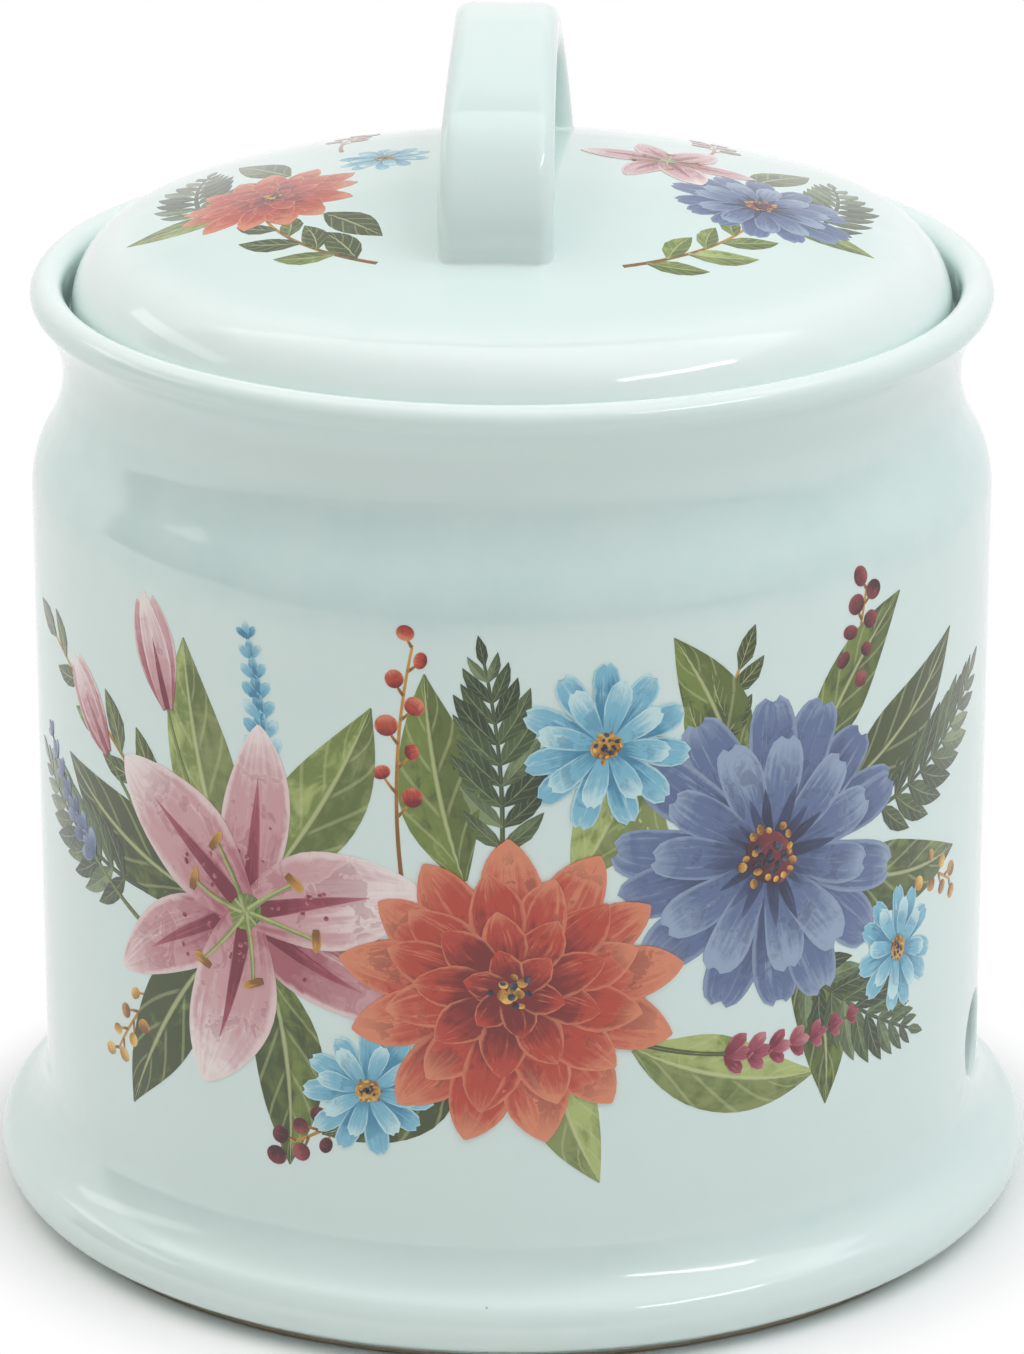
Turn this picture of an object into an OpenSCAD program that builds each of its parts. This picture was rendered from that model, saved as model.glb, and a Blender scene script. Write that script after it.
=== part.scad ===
// Onion keeper in glazed stoneware: a straight-sided crock with a flared foot, a drawn-in neck,
// a rolled lip and vents low in its wall, closed by a domed lid with a strap handle.
// Z is up, and the origin is on the table at the centre of the resting ring.
// The handle lies along Y, and the vents face +X.

/* [Crock] */
// Outer radius of the straight wall
body_r = 82; // [65:0.5:110]
// Height of the lip above the table
crock_h = 163.5; // [130:0.5:230]
// Thickness of the straight wall
wall = 5.5; // [4:0.25:7]
// Thickness of the floor
floor_t = 7; // [5:0.25:10]
// Radius of the curve between floor and wall, inside
floor_curve = 10; // [4:0.5:18]

/* [Foot] */
// How far the foot's edge stands out from the wall
foot_out = 8.4; // [5:0.1:12]
// Radius of the foot's rounded edge
foot_edge = 5; // [4:0.1:7]
// Radius of the cove between foot and wall
foot_cove = 11; // [6:0.5:14]
// Height of the edge's underside above the table
foot_lift = 2.3; // [1:0.1:4]
// How far the resting ring stands in from the start of the edge's curve
rest_step = 0.9; // [0.5:0.1:3]
// Width of the unglazed resting ring
rest_w = 9; // [5:0.5:14]
// Depth of the recess inside the resting ring
recess_h = 2.6; // [1.5:0.1:4]

/* [Neck and lip] */
// How far the neck is drawn in from the wall
neck_in = 5.7; // [3:0.1:8]
// Radius of the shoulder's outward curve
shoulder_curve = 12; // [8:0.5:18]
// Radius of the hollow curve below the neck's narrowest line
neck_low_curve = 14; // [8:0.5:20]
// Radius of the hollow curve above that line
neck_high_curve = 20; // [14:0.5:26]
// How far the lip stands out from the neck
lip_out = 5.2; // [4:0.1:7]
// Radius of the rolled lip
lip_round = 2.8; // [2.2:0.1:3.4]
// Depth of the lid's seat below the top of the lip
seat_depth = 7.8; // [6:0.1:9]
// Width of the lid's seat
seat_w = 5; // [4.5:0.1:6]

/* [Lid] */
// Gap all round between the lid's edge and the mouth
lid_gap = 1.3; // [0.6:0.1:2]
// Radius of the dome's sphere
dome_r = 200; // [130:5:400]
// Radius of the lid's rounded upper edge
lid_edge = 13; // [7:0.5:16]
// Radius of the lid's rounded lower edge
lid_foot_edge = 2.3; // [1.5:0.1:2.7]
// Thickness of the dome
lid_t = 5.5; // [4:0.25:7]
// Gap all round between the locating collar and the throat
collar_gap = 1.3; // [0.6:0.1:2]
// Thickness of the locating collar
collar_t = 4.5; // [3:0.25:6]
// Depth of the locating collar below the seat
collar_h = 9; // [5:0.5:16]
// Radius of the curve between collar and dome, inside
hollow_curve = 5; // [3:0.5:10]

/* [Handle] */
// Distance across the handle's legs, outside
handle_span = 88.8; // [76:0.4:100]
// Height of the handle above the top of the dome
handle_rise = 25.8; // [23:0.2:36]
// Width of the strap
strap_w = 19; // [14:0.5:28]
// Thickness of the strap
strap_t = 7; // [6.25:0.25:9]
// Radius of the strap's rounded edges
strap_edge = 3; // [1:0.25:3]
// Radius of the bend above each leg, outside
bend_out = 20; // [14:0.5:24]
// Radius of the crown between the bends, outside
crown_out = 75; // [60:1:120]

/* [Vents] */
// Radius of each vent
vent_r = 7.5; // [4:0.25:9]
// Height of the vents' centres above the table
vent_z = 29.5; // [28:0.5:60]
// Number of vents in the row
vent_count = 3; // [1:1:5]
// Turn from one vent to the next, in degrees
vent_pitch = 16.5; // [13:0.5:24]
// Turn of the middle of the row from +X, in degrees
vent_bearing = 8; // [-45:1:45]

/* [Hidden] */
$fn = 96;
glaze = "#d7ebe6";
steps = 12;
strap_steps = 10;
corner_steps = 5;

// Foot: the edge's circle and the cove's circle touch, and foot_turn is the angle where they do
foot_reach = foot_edge + foot_cove;
foot_turn = acos((foot_reach - foot_out) / foot_reach);
foot_c = body_r + foot_out - foot_edge;
foot_z = foot_lift + foot_edge;
cove_z = foot_z + foot_reach * sin(foot_turn);
rest_r = foot_c - rest_step;

// Neck: the lip, the hollow curves and the shoulder touch in the same way, from the lip down
neck_r = body_r - neck_in;
lip_c = neck_r + lip_out - lip_round;
lip_z = crock_h - lip_round;
lip_reach = neck_high_curve + lip_round;
lip_turn = acos((lip_reach - lip_out) / lip_reach);
neck_z = lip_z - lip_reach * sin(lip_turn);
shoulder_reach = shoulder_curve + neck_low_curve;
shoulder_turn = acos((shoulder_reach - neck_in) / shoulder_reach);
shoulder_z = neck_z - shoulder_reach * sin(shoulder_turn);

// Inside of the crock
inner_r = body_r - wall;
floor_z = recess_h + floor_t;
mouth_r = lip_c - lip_round;
throat_r = mouth_r - seat_w;
seat_z = crock_h - seat_depth;

// Lid: the dome's sphere touches the circle of its rounded edge at dome_turn from the top
lid_r = mouth_r - lid_gap;
lid_c = lid_r - lid_edge;
lid_z = seat_z + lid_foot_edge;
dome_turn = asin(lid_c / (dome_r - lid_edge));
dome_z = lid_z - (dome_r - lid_edge) * cos(dome_turn);
collar_r = throat_r - collar_gap;
collar_round = collar_t / 2;
hollow_r = dome_r - lid_t;
hollow_c = collar_r - collar_t - hollow_curve;
hollow_turn = asin(hollow_c / (hollow_r - hollow_curve));
hollow_z = dome_z + (hollow_r - hollow_curve) * cos(hollow_turn);

// Handle: the crown's circle touches the circle of each bend at crown_turn from the top
bend_y = handle_span / 2 - bend_out;
crown_turn = asin(bend_y / (crown_out - bend_out));
crown_z = dome_z + dome_r + handle_rise - crown_out;
bend_z = crown_z + (crown_out - bend_out) * cos(crown_turn);

// Points along an arc after its first point
function arc(x, y, r, from, to) =
    [for (i = [1:steps]) let (a = from + (to - from) * i / steps) [x + r * cos(a), y + r * sin(a)]];

// Points along a soft S from the throat out to the inner wall, after its first point
function throat_curve() =
    [for (i = [1:steps]) let (s = i / steps)
        [throat_r + (inner_r - throat_r) * (1 - cos(180 * s)) / 2, neck_z + (shoulder_z - neck_z) * s]];

// Half outline of the crock, up the outside and down the inside
crock_outline = concat(
    [[0, recess_h], [rest_r - rest_w, recess_h], [rest_r - rest_w, 0], [rest_r, 0]],
    [[rest_r, foot_lift], [foot_c, foot_lift]],
    arc(foot_c, foot_z, foot_edge, -90, foot_turn),
    arc(body_r + foot_cove, cove_z, foot_cove, 180 + foot_turn, 180),
    [[body_r, shoulder_z]],
    arc(body_r - shoulder_curve, shoulder_z, shoulder_curve, 0, shoulder_turn),
    arc(neck_r + neck_low_curve, neck_z, neck_low_curve, 180 + shoulder_turn, 180),
    arc(neck_r + neck_high_curve, neck_z, neck_high_curve, 180, 180 - lip_turn),
    arc(lip_c, lip_z, lip_round, -lip_turn, 180),
    [[mouth_r, seat_z], [throat_r, seat_z], [throat_r, neck_z]],
    throat_curve(),
    [[inner_r, floor_z + floor_curve]],
    arc(inner_r - floor_curve, floor_z + floor_curve, floor_curve, 0, -90),
    [[0, floor_z]]
);

// Half outline of the lid's outside, from the top of the dome to the seat
dome_outline = concat(
    [[0, dome_z + dome_r]],
    arc(0, dome_z, dome_r, 90, 90 - dome_turn),
    arc(lid_c, lid_z, lid_edge, 90 - dome_turn, 0),
    arc(lid_r - lid_foot_edge, lid_z, lid_foot_edge, 0, -90)
);

// Half outline of the lid's underside, from the seat in to the axis
hollow_outline = concat(
    [[collar_r, seat_z], [collar_r, seat_z - collar_h + collar_round]],
    arc(collar_r - collar_round, seat_z - collar_h + collar_round, collar_round, 0, -180),
    [[collar_r - collar_t, hollow_z]],
    arc(hollow_c, hollow_z, hollow_curve, 0, 90 - hollow_turn),
    arc(0, dome_z, hollow_r, 90 - hollow_turn, 90)
);

// Outline of the strap's section: thickness along X, width along Y
strap_x = strap_t / 2 - strap_edge;
strap_y = strap_w / 2 - strap_edge;
strap_corners = [[1, 1], [-1, 1], [-1, -1], [1, -1]];
strap_outline = [for (q = [0:3], i = [0:corner_steps])
    let (c = strap_corners[q], a = 90 * (q + i / corner_steps))
    [c[0] * strap_x + strap_edge * cos(a), c[1] * strap_y + strap_edge * sin(a)]];
strap_n = len(strap_outline);

// Points round the strap where its outside faces the angle a from +Y, on a bend with its centre at y and z
function strap_ring(y, z, r, a) = [for (p = strap_outline)
    [p[1], y + (r - strap_t / 2 + p[0]) * cos(a), z + (r - strap_t / 2 + p[0]) * sin(a)]];

// A point above or below the dome, moved on to it along Z
function on_dome(p) = [p[0], p[1], dome_z + sqrt(dome_r ^ 2 - p[0] ^ 2 - p[1] ^ 2)];

// Points round the end of a leg, and the middle of that end: side is 1 for the leg at +Y and -1 at -Y
function leg_end(side) = [for (p = strap_ring(side * bend_y, 0, bend_out, 90 - 90 * side)) on_dome(p)];
function leg_middle(side) = on_dome([0, side * (handle_span - strap_t) / 2]);

// Rings along the strap, from the leg at +Y over the crown to the leg at -Y
bend_turn = 90 - crown_turn;
strap_rings = concat(
    [leg_end(1)],
    [for (i = [0:strap_steps]) strap_ring(bend_y, bend_z, bend_out, bend_turn * i / strap_steps)],
    [for (i = [1:strap_steps - 1])
        strap_ring(0, crown_z, crown_out, bend_turn + 2 * crown_turn * i / strap_steps)],
    [for (i = [0:strap_steps])
        strap_ring(-bend_y, bend_z, bend_out, 180 - bend_turn * (1 - i / strap_steps))],
    [leg_end(-1)]
);

module crock() {
    color(glaze) difference() {
        rotate_extrude() polygon(crock_outline);
        for (i = [0:vent_count - 1])
            rotate([0, 0, vent_bearing + (i - (vent_count - 1) / 2) * vent_pitch])
                translate([inner_r - wall, 0, vent_z]) rotate([0, 90, 0]) cylinder(h = 3 * wall, r = vent_r);
    }
}

module lid() {
    color(glaze) rotate_extrude() polygon(concat(dome_outline, hollow_outline));
}

module lid_handle() {
    count = len(strap_rings);
    last = (count - 1) * strap_n;
    points = concat([for (ring = strap_rings) each ring], [leg_middle(1), leg_middle(-1)]);
    sides = [for (k = [0:count - 2], i = [0:strap_n - 1]) let (j = (i + 1) % strap_n, b = k * strap_n)
        [b + i, b + strap_n + i, b + strap_n + j, b + j]];
    ends = [for (i = [0:strap_n - 1]) let (j = (i + 1) % strap_n)
        each [[count * strap_n, i, j], [count * strap_n + 1, last + j, last + i]]];
    color(glaze) polyhedron(points, concat(sides, ends));
}

crock();
lid();
lid_handle();
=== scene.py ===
import random
from math import acos, asin, atan2, ceil, cos, degrees, hypot, pi, radians, sin, sqrt, tau

import bmesh
import bpy
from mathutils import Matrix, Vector


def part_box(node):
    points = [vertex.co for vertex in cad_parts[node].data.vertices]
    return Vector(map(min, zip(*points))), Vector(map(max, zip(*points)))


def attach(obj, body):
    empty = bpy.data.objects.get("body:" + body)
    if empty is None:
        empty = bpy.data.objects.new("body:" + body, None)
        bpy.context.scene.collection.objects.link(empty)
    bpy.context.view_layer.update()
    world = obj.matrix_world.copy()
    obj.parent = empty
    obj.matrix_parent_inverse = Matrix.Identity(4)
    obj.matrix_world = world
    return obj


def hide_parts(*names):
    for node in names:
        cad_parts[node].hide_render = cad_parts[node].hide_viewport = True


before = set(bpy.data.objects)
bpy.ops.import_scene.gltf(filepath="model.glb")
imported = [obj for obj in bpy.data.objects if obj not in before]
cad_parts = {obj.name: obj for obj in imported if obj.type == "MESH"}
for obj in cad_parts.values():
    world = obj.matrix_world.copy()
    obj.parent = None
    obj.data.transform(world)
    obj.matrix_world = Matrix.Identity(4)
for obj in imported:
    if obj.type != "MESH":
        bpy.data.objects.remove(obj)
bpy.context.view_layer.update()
scene = bpy.context.scene
scene.view_settings.view_transform = "Standard"
mm = 0.001  # sizes are in millimetres where no note says metres


# paints

def tint(code):
    # a hex colour as the linear values that shaders take
    parts = [int(code[i:i + 2], 16) / 255 for i in (0, 2, 4)]
    return tuple(c / 12.92 if c <= 0.04045 else ((c + 0.055) / 1.055) ** 2.4 for c in parts) + (1.0,)


class Value:
    def __init__(self, paint, socket):
        self.paint = paint
        self.socket = socket

    def maths(self, operation, first, second):
        return self.paint.node("ShaderNodeMath", {"operation": operation}, {0: first, 1: second})

    def __add__(self, other):
        return self.maths("ADD", self, other)

    def __radd__(self, other):
        return self.maths("ADD", other, self)

    def __sub__(self, other):
        return self.maths("SUBTRACT", self, other)

    def __rsub__(self, other):
        return self.maths("SUBTRACT", other, self)

    def __mul__(self, other):
        return self.maths("MULTIPLY", self, other)

    def __rmul__(self, other):
        return self.maths("MULTIPLY", other, self)

    def __abs__(self):
        return self.maths("ABSOLUTE", self, 0.0)

    def rise(self, low, high):
        # 0 at low, 1 at high, eased between them
        span = {"Value": self, "From Min": low, "From Max": high}
        return self.paint.node("ShaderNodeMapRange", {"interpolation_type": "SMOOTHSTEP"}, span)

    def band(self, middle, half, flat=0.0):
        # 1 over the flat share of a band, easing to 0 at its ends
        return 1 - abs(self - middle).rise(half * flat, half)


class Paint:
    def __init__(self, holder):
        self.holder = holder
        holder.use_nodes = True
        self.tree = holder.node_tree

    def node(self, kind, settings, sockets, output=0):
        node = self.tree.nodes.new(kind)
        for key, value in settings.items():
            setattr(node, key, value)
        for key, value in sockets.items():
            self.fill(node.inputs[key], value)
        return Value(self, node.outputs[output])

    def fill(self, socket, value):
        if isinstance(value, Value):
            self.tree.links.new(value.socket, socket)
        else:
            socket.default_value = value

    def mix(self, share, first, second):
        return self.node("ShaderNodeMix", {"data_type": "RGBA"}, {0: share, 6: first, 7: second}, 2)

    def noise(self, place, scale, detail=2.0, roughness=0.5, distortion=0.0):
        sockets = {"Vector": place, "Scale": scale, "Detail": detail}
        sockets.update({"Roughness": roughness, "Distortion": distortion})
        return self.node("ShaderNodeTexNoise", {}, sockets)

    def coordinates(self, output):
        return self.node("ShaderNodeTexCoord", {}, {}, output)

    def ray(self, kind):
        return self.node("ShaderNodeLightPath", {}, {}, kind)

    def part(self, vector, axis):
        return self.node("ShaderNodeSeparateXYZ", {}, {0: vector}, "XYZ".index(axis))

    def join(self, x, y, z):
        return self.node("ShaderNodeCombineXYZ", {}, {0: x, 1: y, 2: z})

    def coat(self, colour, roughness, height=None, depth=0.0, fixed=()):
        shader = self.tree.nodes["Principled BSDF"]
        self.fill(shader.inputs["Base Color"], colour)
        self.fill(shader.inputs["Roughness"], roughness)
        if height is not None:
            waves = {"Strength": 1.0, "Distance": depth, "Height": height}
            self.fill(shader.inputs["Normal"], self.node("ShaderNodeBump", {}, waves))
        for key, value in fixed:
            self.fill(shader.inputs[key], value)
        return self.holder


def newPaint(name):
    return Paint(bpy.data.materials.new(name))


# glaze

glazeForm = {
    "body": tint("deeeea"),  # the glaze at its usual depth
    "pooledAndShaded": tint("c0dcda"),  # darker where it runs thick in a hollow, and painted shade where light falls off
    "thinAndLit": tint("eaf5f2"),  # lighter where it draws off an edge, and painted light where lamps catch an edge
    "clay": tint("c9b7a0"),
    "clayDark": tint("a8937c"),
    "speck": tint("8f8a78"),  # a pinhole or a grain of iron here and there
    "ior": 1.62,
    "wave": 0.0007,  # metres of unevenness
    "waveScale": 16.0,
    "mottleScale": 130.0,
    "grainScale": 900.0,
    "speckScale": 95.0,
    "speckSize": (0.012, 0.035),
    "speckChance": (0.86, 0.9),
    "clouding": 0.5,  # how far waves and mottle shift its colour
    "mottling": 0.35,
    "wander": 0.008,  # metres, as no pooled or painted-shade band ends on a level line
    "thinLeast": 0.55,
    "bareSoft": 0.15,  # half the width of the line where it stops
    "bareWander": 0.0006,  # metres
    "gloss": 0.055,  # its roughness, then what each of these adds
    "rough": {"mottle": 0.05, "speck": 0.2, "bare": 0.75},
    "relief": {"mottle": 0.06, "speck": 0.08, "bare": 0.3},
    "speckShade": 0.55,
    "printGloss": 0.08,
}


def glazeWaves(paint, place):
    # the slow unevenness that a poured glaze dries with
    return paint.noise(place, glazeForm["waveScale"], 3.0)


def glazeOver(paint, colour, roughness, height):
    # the gloss that bare ware and print have alike
    return paint.coat(colour, roughness, height, glazeForm["wave"], [("IOR", glazeForm["ior"])])


def makeGlaze(name, poolsAndShade, thinsAndLight, bareBelow=None):
    # pools (pooled glaze and painted shade) and thins (thinned glaze and painted light) have rows of
    # middle, half height, flat share and strength
    g = glazeForm
    rough, relief = g["rough"], g["relief"]
    paint = newPaint(name)
    place = paint.coordinates("Object")
    z = paint.part(place, "Z")
    cloud = glazeWaves(paint, place)
    mottle = paint.noise(place, g["mottleScale"], 3.0, 0.6)
    deep = (cloud - 0.5) * g["clouding"] + (mottle - 0.5) * g["mottling"]
    drift = z + (cloud - 0.5) * g["wander"]
    # each band darkens towards the pool colour: partly pooled glaze, partly painted shade
    for middle, half, flat, share in poolsAndShade:
        deep = deep + drift.band(middle * mm, half * mm, flat) * share
    colour = paint.mix(deep.rise(0.0, 1.0), g["body"], g["pooledAndShaded"])
    edge = 0.0
    # each band lightens towards the thin colour: partly glaze drawn thin, partly painted light
    for middle, half, flat, share in thinsAndLight:
        edge = z.band(middle * mm, half * mm, flat) * share + edge
    edge = edge * (g["thinLeast"] + mottle)
    colour = paint.mix(edge.rise(0.0, 1.0), colour, g["thinAndLit"])
    cells = {"Vector": place, "Scale": g["speckScale"]}
    near = paint.node("ShaderNodeTexVoronoi", {}, cells, 0)
    chance = paint.part(paint.node("ShaderNodeTexVoronoi", {}, cells, 1), "X")
    speck = (1 - near.rise(*g["speckSize"])) * chance.rise(*g["speckChance"])
    colour = paint.mix(speck * g["speckShade"], colour, g["speck"])
    roughness = g["gloss"] + mottle * rough["mottle"] + speck * rough["speck"]
    height = cloud + mottle * relief["mottle"] - speck * relief["speck"]
    if bareBelow is not None:
        grain = paint.noise(place, g["grainScale"], 4.0, 0.7)
        line = z + (mottle - 0.5) * g["bareWander"]
        bare = 1 - line.rise((bareBelow - g["bareSoft"]) * mm, (bareBelow + g["bareSoft"]) * mm)
        colour = paint.mix(bare, colour, paint.mix(grain, g["clay"], g["clayDark"]))
        roughness = roughness + bare * rough["bare"]
        height = height + bare * grain * relief["bare"]
    return glazeOver(paint, colour, roughness, height)


# crock

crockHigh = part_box("crock")[1]

crockForm = {
    "footR": crockHigh.x / mm,
    "lipTop": crockHigh.z / mm,
    "wallR": 82.0,
    "wall": 5.5,
    "floorZ": 9.6,
    "floorCurve": 9.4,
    "footEdge": 5.0,
    "footCove": 11.0,
    "footLift": 2.3,
    "restStep": 0.9,
    "restWidth": 9.0,
    "recess": 2.6,
    "neckIn": 5.7,
    "shoulderCurve": 18.0,
    "neckLowCurve": 22.0,
    "neckHighCurve": 17.0,
    "lipOut": 5.2,
    "lipRound": 2.8,
    "seatDepth": 7.8,
    "seatWidth": 5.0,
    "soft": 0.7,  # what the glaze leaves of a sharp corner
    "stepSoft": 0.3,
    "seatSoft": 1.0,
    "hollowSoft": 1.2,  # it gathers in a hollow one
    "turns": 360,
    "recessRings": 5,
    "floorRings": 6,
    "wallRows": 24,
    "throatRows": 14,
    "rowGap": 0.4,  # least height of a row
    # the cove darkened by pooled glaze and painted shade; the shoulder and neck by a painted dark
    # reflection and painted shade under the lip, with some pooled glaze
    "poolsAndShade": ((17.5, 5.0, 0.0, 0.2), (137.0, 13.0, 0.5, 0.36)),
    # the lip top and the foot's flare lighter: partly thin glaze, partly painted light
    "thinsAndLight": ((crockHigh.z / mm, 2.6, 0.0, 0.8), (9.0, 8.0, 0.4, 0.3)),
    "bareBelow": 1.0,
}

ventForm = {
    "radius": 7.5,
    "z": 29.5,
    "bearings": (-8.5, 8.0, 24.5),  # degrees from +X
    "rim": 1.2,
    "rimSteps": 6,
    "margin": 0.5,
    "windowTurn": 7.6,  # half the patch meshed anew round a vent
    "windowHigh": 10.0,
    "rows": 14,
}


def arcPoints(x, z, r, start, end, steps=12):
    turns = [radians(start + (end - start) * i / steps) for i in range(1, steps + 1)]
    return [(x + r * cos(a), z + r * sin(a)) for a in turns]


def softCorner(before, corner, after, r, steps=4):
    # a corner of an outline, eased between two points a distance r from it
    c = Vector(corner)
    a = c + (Vector(before) - c).normalized() * r
    b = c + (Vector(after) - c).normalized() * r
    shares = [i / steps for i in range(steps + 1)]
    return [tuple(a * (1 - t) ** 2 + c * 2 * t * (1 - t) + b * t ** 2) for t in shares]


def outerRadius(f, z):
    # radius of the outside on the straight wall or on the cove under it
    if z >= f["coveZ"]:
        return f["wallR"]
    return f["coveR"] - sqrt(f["footCove"] ** 2 - (z - f["coveZ"]) ** 2)


def crockOutline(f, v):
    reach = f["footEdge"] + f["footCove"]
    footTurn = acos((reach - f["footR"] + f["wallR"]) / reach)
    footC = f["footR"] - f["footEdge"]
    footZ = f["footLift"] + f["footEdge"]
    restR = footC - f["restStep"]
    restIn = restR - f["restWidth"]
    neckR = f["wallR"] - f["neckIn"]
    lipC = neckR + f["lipOut"] - f["lipRound"]
    lipZ = f["lipTop"] - f["lipRound"]
    lipReach = f["neckHighCurve"] + f["lipRound"]
    lipTurn = acos((lipReach - f["lipOut"]) / lipReach)
    neckZ = lipZ - lipReach * sin(lipTurn)
    shoulderReach = f["shoulderCurve"] + f["neckLowCurve"]
    shoulderTurn = acos((shoulderReach - f["neckIn"]) / shoulderReach)
    shoulderZ = neckZ - shoulderReach * sin(shoulderTurn)
    innerR = f["wallR"] - f["wall"]
    mouthR = lipC - f["lipRound"]
    throatR = mouthR - f["seatWidth"]
    seatZ = f["lipTop"] - f["seatDepth"]
    f["coveZ"] = footZ + reach * sin(footTurn)
    f["coveR"] = f["wallR"] + f["footCove"]
    f.update(innerR=innerR, mouthR=mouthR, throatR=throatR)
    f.update(seatZ=seatZ, neckZ=neckZ, shoulderZ=shoulderZ)
    footTurn, lipTurn, shoulderTurn = (degrees(a) for a in (footTurn, lipTurn, shoulderTurn))

    windowLow = v["z"] - v["windowHigh"]
    windowZ = [windowLow + 2 * v["windowHigh"] * i / v["rows"] for i in range(v["rows"] + 1)]
    rows = f["wallRows"]
    wallZ = [windowZ[-1] + (shoulderZ - windowZ[-1]) * i / rows for i in range(1, rows + 1)]
    soft, hollow = f["soft"], f["hollowSoft"]
    recess, lift = f["recess"], f["footLift"]
    line = [(restIn * i / f["recessRings"], recess) for i in range(f["recessRings"])]
    line += softCorner((0, recess), (restIn, recess), (restIn, 0), hollow)
    line += softCorner((restIn, recess), (restIn, 0), (restR, 0), soft)
    line += softCorner((restIn, 0), (restR, 0), (restR, lift), soft)
    line += softCorner((restR, 0), (restR, lift), (footC, lift), f["stepSoft"])
    line += arcPoints(footC, footZ, f["footEdge"], -90, footTurn, 18)
    cove = arcPoints(f["coveR"], f["coveZ"], f["footCove"], 180 + footTurn, 180, 14)
    line += [p for p in cove if p[1] < windowZ[0] - f["rowGap"]]
    line += [(outerRadius(f, z), z) for z in windowZ]
    line += [(f["wallR"], z) for z in wallZ]
    line += arcPoints(f["wallR"] - f["shoulderCurve"], shoulderZ, f["shoulderCurve"], 0, shoulderTurn)
    line += arcPoints(neckR + f["neckLowCurve"], neckZ, f["neckLowCurve"], 180 + shoulderTurn, 180)
    line += arcPoints(neckR + f["neckHighCurve"], neckZ, f["neckHighCurve"], 180, 180 - lipTurn)
    line += arcPoints(lipC, lipZ, f["lipRound"], -lipTurn, 180, 20)
    line += softCorner((mouthR, lipZ), (mouthR, seatZ), (throatR, seatZ), hollow)
    line += softCorner((mouthR, seatZ), (throatR, seatZ), (throatR, neckZ), f["seatSoft"])
    rows = f["throatRows"]
    for i in range(rows + 1):
        ease = (1 - cos(pi * i / rows)) / 2
        line.append((throatR + (innerR - throatR) * ease, neckZ + (shoulderZ - neckZ) * i / rows))
    line += [(innerR, z) for z in reversed(windowZ + wallZ[:-1])]
    flatR = innerR - f["floorCurve"]
    rings = f["floorRings"]
    line += arcPoints(flatR, f["floorZ"] + f["floorCurve"], f["floorCurve"], 0, -90)
    line += [(flatR * i / rings, f["floorZ"]) for i in range(rings - 1, -1, -1)]
    return line


def spinOutline(outline, turns):
    bm = bmesh.new()
    verts = [bm.verts.new((r * mm, 0, z * mm)) for r, z in outline]
    edges = [bm.edges.new(pair) for pair in zip(verts, verts[1:])]
    # one wedge is spun, then copied round: quicker than a full spin
    wedges = 12
    copies = wedges - 1
    about = {"cent": (0, 0, 0), "axis": (0, 0, 1)}
    bmesh.ops.spin(bm, geom=verts + edges, angle=tau / wedges, steps=turns // wedges, **about)
    wedge = bm.verts[:] + bm.edges[:] + bm.faces[:]
    about.update(angle=tau * copies / wedges, steps=copies)
    bmesh.ops.spin(bm, geom=wedge, use_duplicate=True, **about)
    bmesh.ops.remove_doubles(bm, verts=bm.verts, dist=1e-6)
    bmesh.ops.recalc_face_normals(bm, faces=bm.faces)
    return bm


def drawLoop(bm, loop, place):
    # extrudes a loop of edges and moves the new one where place says
    made = bmesh.ops.extrude_edge_only(bm, edges=loop)["geom"]
    new = {g for g in made if isinstance(g, bmesh.types.BMVert)}
    for vert in new:
        vert.co = place(vert.co.copy())
    return [g for g in made if isinstance(g, bmesh.types.BMEdge) and set(g.verts) <= new]


def cutVent(bm, f, v, bearing):
    turn = radians(bearing)
    out = Vector((cos(turn), sin(turn), 0))
    side = Vector((-out.y, out.x, 0))
    up = Vector((0, 0, 1))
    midR = (f["wallR"] + f["innerR"]) / 2

    def turnOf(co):
        return atan2(co.dot(side), co.dot(out))

    def inWindow(face):
        c = face.calc_center_median()
        level = abs(c.z / mm - v["z"]) < v["windowHigh"]
        return level and abs(degrees(turnOf(c))) < v["windowTurn"]

    bmesh.ops.delete(bm, geom=[face for face in bm.faces if inWindow(face)], context="FACES")
    edges = [e for e in bm.edges if e.is_boundary]
    # rings that close the patch in: distance from the vent's axis, and depth
    rimR = v["radius"] + v["rim"]
    rings = [(rimR + v["margin"], 0.0), (rimR, 0.0)]
    for i in range(1, v["rimSteps"] + 1):
        t = pi / 2 * i / v["rimSteps"]
        rings.append((v["radius"] + v["rim"] * (1 - sin(t)), v["rim"] * (1 - cos(t))))
    rings.append((v["radius"], f["wall"] / 2))
    for outside in (True, False):
        loop = [e for e in edges if (e.verts[0].co.xy.length / mm > midR) == outside]
        for number, (distance, depth) in enumerate(rings):
            def place(co):
                across = turnOf(co) * midR if number == 0 else co.dot(side) / mm
                a = atan2(co.z / mm - v["z"], across)
                across = distance * cos(a)
                z = v["z"] + distance * sin(a)
                r = outerRadius(f, z) - depth if outside else f["innerR"] + depth
                away = midR if number == len(rings) - 1 else sqrt(r ** 2 - across ** 2)
                return (out * away + side * across + up * z) * mm
            loop = drawLoop(bm, loop, place)
    bmesh.ops.remove_doubles(bm, verts=[x for x in bm.verts if x.is_boundary], dist=2e-5)


def addThing(name, data):
    thing = bpy.data.objects.new(name, data)
    scene.collection.objects.link(thing)
    return thing


def addMesh(name, bm, material):
    mesh = bpy.data.meshes.new(name)
    bm.to_mesh(mesh)
    bm.free()
    mesh.materials.append(material)
    return addThing(name, mesh)


def finishPiece(name, bm, material, body):
    for face in bm.faces:
        face.smooth = True
    piece = addMesh(name, bm, material)
    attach(piece, body)
    print("made", name, len(piece.data.polygons), "faces")
    return piece


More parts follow.
